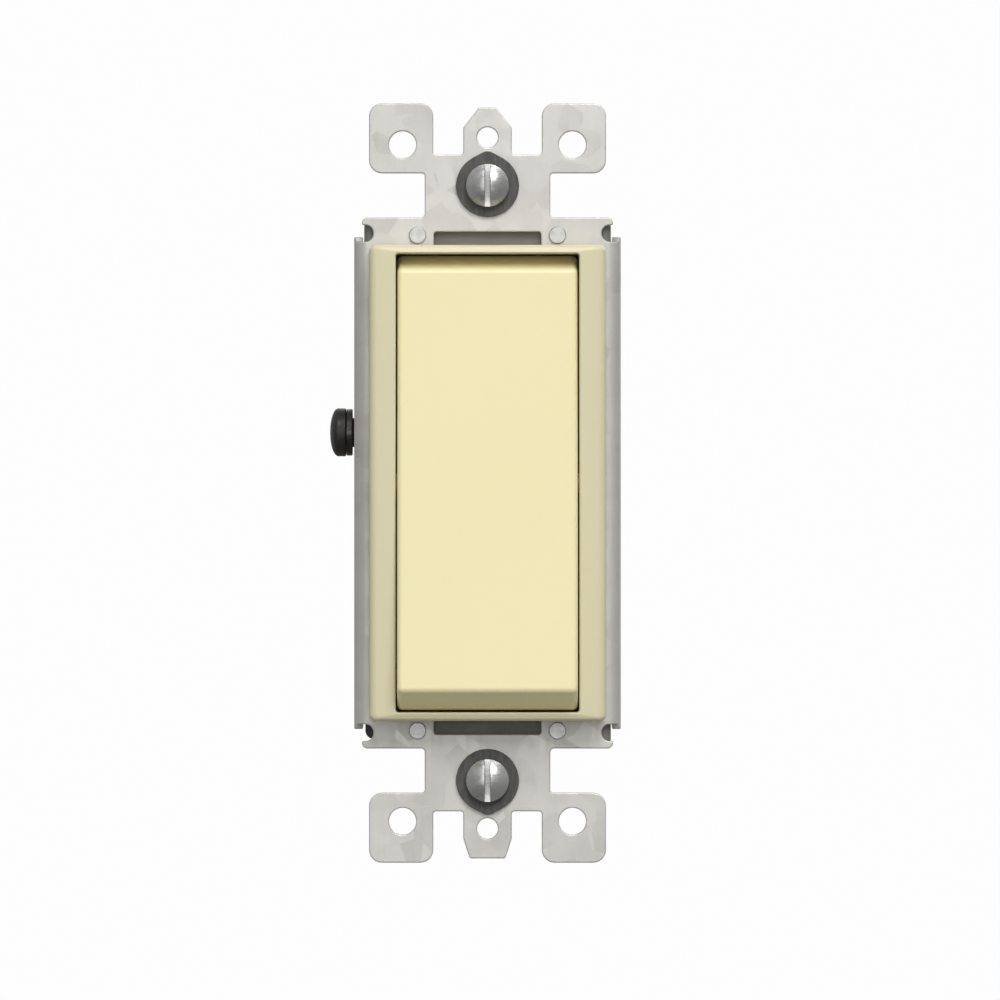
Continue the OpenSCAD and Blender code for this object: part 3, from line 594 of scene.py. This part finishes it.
def strap_holes():
    ground_r, tapped_r, ear_hole_r = 1.75, 1.45, 1.9
    tapped_z, ear_hole_x, ear_hole_z = STRAP_Z - 4.78, 11.9, STRAP_Z - 5.8
    slot_x, slot_z, slot_r = 4.3, 2.2, 2.19
    holes = [circle((GROUND_X - 2 * BEND_R + BEND_LEN + GROUND_Y, GROUND_Z), ground_r)]
    for s in (-1, 1):
        holes.append(circle((0, s * tapped_z), tapped_r))
        middle = s * BOX_SCREW_Z
        holes.append(rectangle((-slot_x, slot_x), (middle - slot_z, middle + slot_z), slot_r))
        holes += [circle((ear_hole_x * e, s * ear_hole_z), ear_hole_r) for e in (-1, 1)]
    return holes


def fold_lines(bm, start, side, keep):
    """Cuts the flat sheet across each bend so that it can curve, and then bends it."""
    steps = 7
    for i in range(steps + 1):
        place = side * (start + BEND_LEN * i / steps)
        faces = [f for f in bm.faces if any(keep(v.co) for v in f.verts)]
        edges = {e for f in faces for e in f.edges}
        verts = {v for f in faces for v in f.verts}
        bmesh.ops.bisect_plane(
            bm, geom=[*faces, *edges, *verts], dist=0.0001, plane_co=(place, 0, 0), plane_no=(1, 0, 0)
        )
    for v in bm.verts:
        if keep(v.co) and side * v.co.x > start:
            x, y = bent(side * v.co.x, v.co.y, start)
            v.co.x, v.co.y = side * x, y


def make_strap():
    bm = slab([strap_outline(), strap_window(), *strap_holes()], (STRAP_Y, 0), 0.16)
    side_start = SIDE_X - BEND_R + STRAP_Y
    tab = (GROUND_Z - 3.0, GROUND_Z + 3.0)
    fold_lines(bm, GROUND_X - BEND_R, 1, lambda p: GROUND_X - 3 < p.x < 4 and tab[0] < p.z < tab[1])
    for side in (-1, 1):
        fold_lines(bm, side_start, side, lambda p: abs(p.z) < RELIEF_Z and side * p.x > side_start - 2)
    link_mesh("strap_sheet", bm, "strap")


# ---- Bezel ----


def frame_ring(half_x, half_z, radius, y, steps=6):
    """A ring of points round a rectangle with round corners, always equally many."""
    points = []
    for sx, sz, first in ((1, 1, 0), (-1, 1, 90), (-1, -1, 180), (1, -1, 270)):
        for i in range(steps + 1):
            turn = math.radians(first + 90 * i / steps)
            x = sx * (half_x - radius) + radius * math.cos(turn)
            z = sz * (half_z - radius) + radius * math.sin(turn)
            points.append((x, y, z))
    return points


def bezel_rings():
    """The bezel's section, carried round: outer side, sloping front, opening, and the hollow behind."""
    outer_r, inner_r, fall, end_share = 1.1, 0.35, 0.15, 0.5
    foot, foot_r, side_r, open_r = 0.35, 0.6, 0.85, 0.4
    rings = [frame_ring(BEZEL_X - foot, BEZEL_Z - foot, foot_r, y) for y in (STRAP_Y, STRAP_Y - foot)]
    rings.append(frame_ring(BEZEL_X, BEZEL_Z, side_r, STRAP_Y - 0.6))
    for i in range(7):
        turn = math.radians(15 * i)
        inset = outer_r * (1 - math.cos(turn))
        y = BEZEL_Y + fall + outer_r * (1 - math.sin(turn))
        rings.append(frame_ring(BEZEL_X - inset, BEZEL_Z - end_share * inset, side_r - 0.4 * inset, y))
    for i in range(7):
        turn = math.radians(15 * i)
        inset = inner_r * (1 - math.sin(turn))
        y = BEZEL_Y + inner_r * (1 - math.cos(turn))
        rings.append(frame_ring(OPEN_X + inset, OPEN_Z + 0.8 * inset, open_r + inset, y))
    hollow_x = BEZEL_X - SIDE_WALL
    rings.append(frame_ring(OPEN_X, OPEN_Z, open_r, BEZEL_Y + RIM_T))
    rings += [frame_ring(hollow_x, OPEN_Z, open_r, y) for y in (BEZEL_Y + RIM_T, STRAP_Y)]
    return [*rings, rings[0]]


def trunnion_boss(side):
    hole = circle((PIVOT_Y, 0), 1.47)
    outline = rectangle((BEZEL_Y + RIM_T - 0.1, STRAP_Y), (-4, 4), 0.3)
    span = sorted((side * (OPEN_X + 0.02), side * (BEZEL_X - 0.9)))
    return slab([outline, hole], span, 0.1, "x")


def latch_arm():
    root, thick, arm_end = OPEN_Z + 0.2, 1.0, 4.8
    hook_y, hook_z = 1.92, root + thick + 0.95
    outline = rounded([
        (STRAP_Y - 0.6, root, 0.1), (STRAP_Y - 0.6, root + thick, 0.1), (hook_y, root + thick, 0.1),
        (hook_y, hook_z, 0.12), (hook_y + 0.5, hook_z, 0.2), (arm_end, root + thick, 0.2),
        (arm_end, root, 0.2),
    ])
    return slab([outline], (-7, 7), 0.12, "x")


def make_bezel():
    shell = loft(bezel_rings(), cap=False)
    bmesh.ops.remove_doubles(shell, verts=shell.verts, dist=0.0005)
    parts = [shell, trunnion_boss(-1), trunnion_boss(1), latch_arm(), moved(latch_arm(), UPSIDE_DOWN)]
    link_mesh("bezel_frame", joined(*parts), "bezel")


# ---- Rocker ----

PADDLE_X, PADDLE_Z = OPEN_X - 0.2, OPEN_Z - 0.22
FACE_Z = PADDLE_Z - 2.3
RISE, SAG, SHOULDER, SKIRT_Y = 5.6, 0.45, -1.0, 0.865
PADDLE_T, SKIRT_T = 2.0, 1.5
STEM_R, STEM_END, BORE_R, BORE_Y = 3.4, 13.2, 2.0, -3.2
PLUNGER_BACK, STROKE = 8.9, 1.2


def front_arc(steps=28):
    spread = [2 * i / steps - 1 for i in range(steps + 1)]
    return [(-RISE + SAG * (1 - t * t), FACE_Z * t, 0) for t in spread]


def paddle_outline(inset):
    """The paddle's section in Y and Z, shrunk all round but at its open back."""
    arc = front_arc()
    arc[0], arc[-1] = (*arc[0][:2], 0.9), (*arc[-1][:2], 0.9)
    outline = rounded([
        (SKIRT_Y, -PADDLE_Z, 0), (SHOULDER, -PADDLE_Z, 0.8), *arc,
        (SHOULDER, PADDLE_Z, 0.8), (SKIRT_Y, PADDLE_Z, 0),
    ])
    points = []
    for i, here in enumerate(outline):
        before, after = Vector(outline[i - 1]), Vector(outline[(i + 1) % len(outline)])
        if i in (0, len(outline) - 1):
            normal = Vector((0, -1 if i else 1))
        else:
            run = after - before
            normal = Vector((run.y, -run.x)).normalized()
        points.append(Vector(here) + normal * inset)
    return points


def paddle_shell():
    """The outer skin, with its side edges rounded by shrinking the section towards each side."""
    edge, steps = 0.75, 6
    slices = [(PADDLE_X - edge * (1 - math.sin(math.pi / 2 * i / steps)),
               edge * (1 - math.cos(math.pi / 2 * i / steps))) for i in range(steps, -1, -1)]
    slices = [(-x, d) for x, d in slices] + [(x, d) for x, d in slices[::-1]]
    return loft([[(x, p.x, p.y) for p in paddle_outline(d)] for x, d in slices])


def paddle_hollow():
    inner_z, inner_y = PADDLE_Z - SKIRT_T, -RISE + PADDLE_T
    outline = rounded([
        (inner_y, -inner_z + 1.4, 0.5), (SHOULDER, -inner_z, 0.5), (SKIRT_Y + 1, -inner_z, 0),
        (SKIRT_Y + 1, inner_z, 0), (SHOULDER, inner_z, 0.5), (inner_y, inner_z - 1.4, 0.5),
    ])
    inner_x = PADDLE_X - SKIRT_T
    return loft([[(x, y, z) for y, z in outline] for x in (-inner_x, inner_x)])


def tube(outer, inner, span, edge=0.15):
    """A tube along Y, as a closed section turned about the axis."""
    rim = rectangle((inner, outer), span, edge)
    turns = [2 * math.pi * i / 48 for i in range(48)]
    bm = loft([[(r * math.cos(t), h, r * math.sin(t)) for r, h in rim] for t in [*turns, 0.0]], cap=False)
    bmesh.ops.remove_doubles(bm, verts=bm.verts, dist=0.0005)
    return bm


def make_paddle():
    shell = cut(paddle_shell(), paddle_hollow())
    back_y = -RISE + PADDLE_T - 0.05
    pin_r, pin_x, chamfer = 1.4, BEZEL_X - 1.2, 0.25
    pin = turned([(AXIS, -pin_x), (pin_r - chamfer, -pin_x), (pin_r, -pin_x + chamfer),
                  (pin_r, pin_x - chamfer), (pin_r - chamfer, pin_x), (AXIS, pin_x)], "x")
    rib_x, rib_z, cross_x, edge = 0.6, FACE_Z - 0.6, PADDLE_X - 0.8, 0.12
    cross = block((-cross_x, cross_x), (back_y, pin_r), (-1.2, 1.2), edge)
    long_rib = block((-rib_x, rib_x), (back_y, SHOULDER), (-rib_z, rib_z), edge)
    stem = tube(STEM_R, BORE_R, (back_y, STEM_END))
    bm = joined(shell, pin, cross, long_rib, stem)
    link_mesh("paddle", moved(bm, AT_PIVOT), "rocker_paddle")


def make_plunger():
    radius, back, nose, spigot, chamfer = 1.93, PLUNGER_BACK, 15.28, 1.5, 0.25
    spigot_end = back - spigot
    profile = [(AXIS, spigot_end), (0.8, spigot_end), (radius / 2, spigot_end + 0.17), (radius / 2, back)]
    profile += [(radius - chamfer, back), (radius, back + chamfer), (radius, nose)]
    profile += [(max(AXIS, radius * math.cos(a)), nose + radius * math.sin(a))
                for a in [math.pi / 2 * i / 10 for i in range(1, 11)]]
    link_mesh("plunger_pin", moved(turned(profile), AT_PIVOT), "plunger")


def make_plunger_spring():
    """A closed-end compression spring, wound as one round wire."""
    wire, radius, turns, per_turn, sides = 0.2, 1.55, 10, 36, 10
    gap = wire + 0.03
    low, high = BORE_Y + gap, PLUNGER_BACK - gap
    rings = []
    for i in range(turns * per_turn + 1):
        share = i / (turns * per_turn)
        spread = min(1.0, max(0.0, (share * turns - 0.9) / (turns - 1.8)))
        flat = 0.12 * min(1.0, share * turns) + 0.12 * max(0.0, share * turns - turns + 1)
        y = low + (high - low) * (0.9 * spread + flat / 2.4)
        turn = 2 * math.pi * i / per_turn
        ring = []
        for k in range(sides):
            tip = 2 * math.pi * k / sides
            out = radius + wire * math.cos(tip)
            ring.append((out * math.cos(turn), y + wire * math.sin(tip), out * math.sin(turn)))
        rings.append(ring)
    piece = link_mesh("plunger_coil", moved(loft(rings), AT_PIVOT), "plunger_spring")
    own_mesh(piece)


# ---- Screws ----


def make_box_screw(side, node, name):
    """A captive box screw: slotted dome in front of its retainer, a neck, and a threaded shank."""
    under, radius, thick, height = STRAP_Y - 0.6, 3.0, 1.0, 2.1
    neck_r, thread_r, length, slot_x = 1.45, 1.75, 17.8, 0.45
    dome = height - thick
    dome_r = (radius * radius + dome * dome) / (2 * dome)
    spread = [math.asin(radius / dome_r) * i / 8 for i in range(8)]
    top, rim = under - height, under - thick
    profile = [(max(AXIS, dome_r * math.sin(a)), top + dome_r * (1 - math.cos(a))) for a in spread]
    profile += [(radius - 0.02, rim - 0.08), (radius, rim + 0.1), (radius, under - 0.15)]
    profile += [(radius - 0.15, under), (neck_r, under), (neck_r, 0.0)]
    head = turned([*profile, (AXIS, 0.0)])
    slot = block((-slot_x, slot_x), (under - 4, under - 1.05), (-4, 4), 0.05)
    shank = moved(threaded(thread_r, (0, length)), along("y"))
    bm = joined(cut(head, slot), shank)
    link_mesh(name, moved(bm, Matrix.Translation((0, 0, side * BOX_SCREW_Z))), node)


def make_terminal_screw(side, under, node, name):
    """A terminal screw whose head faces outwards: slotted dome, captive washer and threaded shank."""
    low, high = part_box(node)
    center = (Vector(low) + Vector(high)) / 2 / MM
    radius, top, washer, rim, out = 3.4, 3.2, 0.9, 1.1, 3.3
    thread_r, length, slot_x = 2.1, 6.7, 0.6
    turns = [math.pi / 2 * i / 9 for i in range(10)]
    dome = [(radius * math.sin(a), top - rim * (1 - math.cos(a))) for a in turns]
    foot = [(radius, washer + 0.15), (radius - 0.15, washer), (AXIS, washer)]
    head = turned([(AXIS, top), *dome[1:], *foot], "z")
    slot = slab([rectangle((-slot_x, slot_x), (-5, 5), 0.05)], (top - 1, top + 1), 0.04, "z")
    collar = turned([(AXIS, washer - 0.05), (out - 0.1, washer - 0.05), (out, washer - 0.15), (out, 0.1),
                     (out - 0.1, 0.0), (AXIS, 0.0)], "z")
    shank = moved(threaded(thread_r, (0, length)), Matrix.Rotation(math.pi, 4, "X"))
    bm = joined(cut(head, slot), collar, shank)
    upright = Matrix.Rotation(side * math.pi / 2, 4, "Y")
    place = Matrix.Translation((side * under, center.y, center.z))
    link_mesh(name, moved(bm, place @ upright @ Matrix.Rotation(math.pi / 2, 4, "Z")), node)


def make_ground_screw():
    """A green hexagon-head screw with a washer face and a slot."""
    radius, washer_t, top, edge = 3.0, 0.7, 2.4, 0.1
    thread_r, length, slot_x = 1.75, 5.4, 0.5
    turns = [math.pi / 3 * i for i in range(6)]
    hexagon = [(radius * math.cos(a), radius * math.sin(a), 0.12) for a in turns]
    head = slab([rounded(hexagon)], (washer_t, top), 0.15, "z")
    slot = slab([rectangle((-slot_x, slot_x), (-5, 5), 0.05)], (top - 0.7, top + 1.6), 0.04, "z")
    washer = turned([(AXIS, 0.0), (radius - edge, 0.0), (radius, edge), (radius, washer_t - edge),
                     (radius - edge, washer_t), (AXIS, washer_t)], "z")
    shank = moved(threaded(thread_r, (0, length)), Matrix.Rotation(math.pi, 4, "X"))
    bm = joined(cut(head, slot), washer, shank)
    place = Matrix.Translation((GROUND_X, GROUND_Y, GROUND_Z))
    link_mesh("ground_hex_screw", moved(bm, place @ Matrix.Rotation(-math.pi / 2, 4, "Y")), "ground_screw")


# ---- Housing ----


def wire_funnel(x, z, back):
    """The flared mouth of a push-in wire hole."""
    deep, mouth, past = back - 1.1, 2.0, back + 0.02
    cone = turned([(AXIS, deep), (1.16, deep), (1.3, deep + 0.4), (mouth, past), (AXIS, past)])
    return moved(cone, Matrix.Translation((x, 0, z)))


def housing_recesses(half_x, half_z, back):
    """Shallow moulded recesses: a blank panel and a strip gauge behind, and fields on the four sides."""
    deep, round_r, edge = 0.4, 1.0, 0.15
    wire_x, wire_z = 10.5, 10.18
    tools = [wire_funnel(x, z, back) for x, z in ((wire_x, wire_z), (wire_x, -wire_z), (-wire_x, 0))]
    panel, gauge = ((-5.5, 5.5), (-30, -15)), ((-1.1, 1.1), (16, 30))
    field_y, fields_x = (7, 22), ((-11.5, -2), (2, 14))
    fields_z = {1: ((22, 33), (-33, -22)), -1: ((17, 33), (-21, -8))}
    tools += [slab([rectangle(x, z, round_r)], (back - deep, back + 1), edge) for x, z in (panel, gauge)]
    for side in (-1, 1):
        across = sorted((side * (half_x - deep), side * (half_x + 1)))
        tools += [slab([rectangle(field_y, z, round_r)], across, edge, "x") for z in fields_z[side]]
        ends = sorted((side * (half_z - deep), side * (half_z + 1)))
        tools += [slab([rectangle(x, field_y, round_r)], ends, edge, "z") for x in fields_x]
    return tools


def make_housing():
    """The CAD housing inside a skin with rounded corners, less its recesses."""
    half_x, half_z = limits("housing_base", 0)[1], limits("housing_base", 2)[1]
    front, back = limits("housing_base", 1)
    outline = rectangle((-half_x, half_x), (-half_z, half_z), 1.2)
    skin = slab([outline], (front - 0.4, back), 0.55)
    tub = cut(cad_mesh("housing_base"), skin, "INTERSECT")
    for tool in housing_recesses(half_x, half_z, back):
        tub = cut(tub, tool)
    bmesh.ops.remove_doubles(tub, verts=tub.verts, dist=0.002)
    bmesh.ops.dissolve_degenerate(tub, edges=tub.edges, dist=0.001)
    link_mesh("housing_tub", tub, "housing_base")


# ---- Make every piece ----


def make_pieces():
    make_strap()
    make_bezel()
    make_paddle()
    make_plunger()
    make_plunger_spring()
    for side, where in ((1, "upper"), (-1, "lower")):
        make_box_screw(side, f"mounting_screw_{where}", f"box_screw_{where}")
        make_terminal_screw(1, 15.5, f"traveller_screw_{where}", f"brass_screw_{where}")
        softened(f"screw_retainer_{where}", f"retainer_{where}", 0.1)
        softened(f"traveller_terminal_{where}", f"traveller_strip_{where}", 0.08)
    make_terminal_screw(-1, 19.1, "common_screw", "black_screw")
    make_ground_screw()
    softened("common_terminal", "common_strip", 0.08)
    softened("fulcrum_pin", "arm_pin", 0.12)
    for where in ("common", "upper", "lower"):
        softened(f"push_in_spring_{where}", f"wire_spring_{where}", 0.05)
    softened("strap_rivets", "rivets", 0.12)
    softened("travel_bumpers", "bumpers", 0.1)
    make_housing()
    softened("housing_cover", "housing_lid", 0.15)
    softened("contact_arm", "seesaw_arm", 0.06)
    softened("moving_contacts", "arm_buttons", 0.12)
    softened("fixed_contacts", "terminal_buttons", 0.12)


make_pieces()

# Every CAD node has a piece that replaces it, and has the same material as that piece
for node, obj in frame["nodes"].items():
    obj.data.materials.clear()
    obj.data.materials.append(LOOKS[SLOT_OF[node]])


# ---- Stage, light and camera ----


def floor_disc(height, radius):
    bm = bmesh.new()
    bmesh.ops.create_circle(bm, cap_ends=True, segments=96, radius=radius)
    mesh = bpy.data.meshes.new("floor")
    bm.to_mesh(mesh)
    bm.free()
    disc = bpy.data.objects.new("floor", mesh)
    disc.location.z = height
    disc.visible_diffuse = False
    disc.visible_glossy = False
    bpy.context.scene.collection.objects.link(disc)
    r = Recipe("floor_paper", (0.85, 0.85, 0.845), 0.85)
    r.set("Emission Color", (1.0, 1.0, 1.0, 1.0))
    reach = r.add("ShaderNodeVectorMath", operation="LENGTH")
    r.link(r.place, reach.inputs[0])
    r.drive("Emission Strength", r.remap(reach.outputs["Value"], 0.5, 6.0, 0.42, 0.95))
    r.drive("Base Color", r.mix(r.noise(0.3, 2.0), (0.84, 0.84, 0.835), (0.86, 0.86, 0.855)))
    mesh.materials.append(r.material)


def soft_light(name, place, size, power):
    """A square lamp that faces the object and isn't seen itself."""
    data = bpy.data.lights.new(name, "AREA")
    data.shape = "SQUARE"
    data.size = size
    data.energy = power
    light = bpy.data.objects.new(name, data)
    light.location = place
    light.rotation_euler = (-Vector(place)).to_track_quat("-Z", "Y").to_euler()
    light.visible_camera = False
    bpy.context.scene.collection.objects.link(light)


def pale_world(seen, above, below):
    """White where it is seen, and a softer light from above than from below."""
    world = bpy.data.worlds.new("studio")
    bpy.context.scene.world = world
    world.use_nodes = True
    tree = world.node_tree
    lit = tree.nodes["Background"]
    place = tree.nodes.new("ShaderNodeTexCoord")
    split = tree.nodes.new("ShaderNodeSeparateXYZ")
    ramp = tree.nodes.new("ShaderNodeMapRange")
    for key, value in (("From Min", -0.5), ("From Max", 0.5), ("To Min", below), ("To Max", above)):
        ramp.inputs[key].default_value = value
    tree.links.new(place.outputs["Generated"], split.inputs["Vector"])
    tree.links.new(split.outputs["Z"], ramp.inputs["Value"])
    tree.links.new(ramp.outputs["Result"], lit.inputs["Strength"])
    lit.inputs["Color"].default_value = (1.0, 1.0, 1.0, 1.0)
    plain = tree.nodes.new("ShaderNodeBackground")
    plain.inputs["Color"].default_value = (1.0, 1.0, 1.0, 1.0)
    plain.inputs["Strength"].default_value = seen
    path = tree.nodes.new("ShaderNodeLightPath")
    choice = tree.nodes.new("ShaderNodeMixShader")
    tree.links.new(path.outputs["Is Camera Ray"], choice.inputs["Fac"])
    tree.links.new(lit.outputs["Background"], choice.inputs[1])
    tree.links.new(plain.outputs["Background"], choice.inputs[2])
    tree.links.new(choice.outputs["Shader"], tree.nodes["World Output"].inputs["Surface"])


def front_camera(field, distance, aim):
    """A long lens looking straight along +Y, with this field of view in metres at the strap."""
    data = bpy.data.cameras.new("camera")
    data.sensor_width = 36.0
    data.lens = data.sensor_width * distance / field
    data.clip_end = 20.0
    camera = bpy.data.objects.new("camera", data)
    camera.location = (aim[0], -distance, aim[1])
    camera.rotation_euler = (math.pi / 2, 0.0, 0.0)
    bpy.context.scene.collection.objects.link(camera)
    bpy.context.scene.camera = camera


floor_disc(height=-1.1, radius=12.0)
soft_light("key", (0.22, -0.95, 0.83), size=0.7, power=10.6)
soft_light("front_panel", (-0.1, -1.7, 0.12), size=1.0, power=4.0)
soft_light("back_panel", (0.6, 1.5, 0.8), size=1.5, power=11.0)
pale_world(seen=0.985, above=0.50, below=0.26)
front_camera(field=140.2 * MM, distance=1.5, aim=(1.75 * MM, -2.38 * MM))
bpy.context.scene.view_settings.view_transform = "Standard"
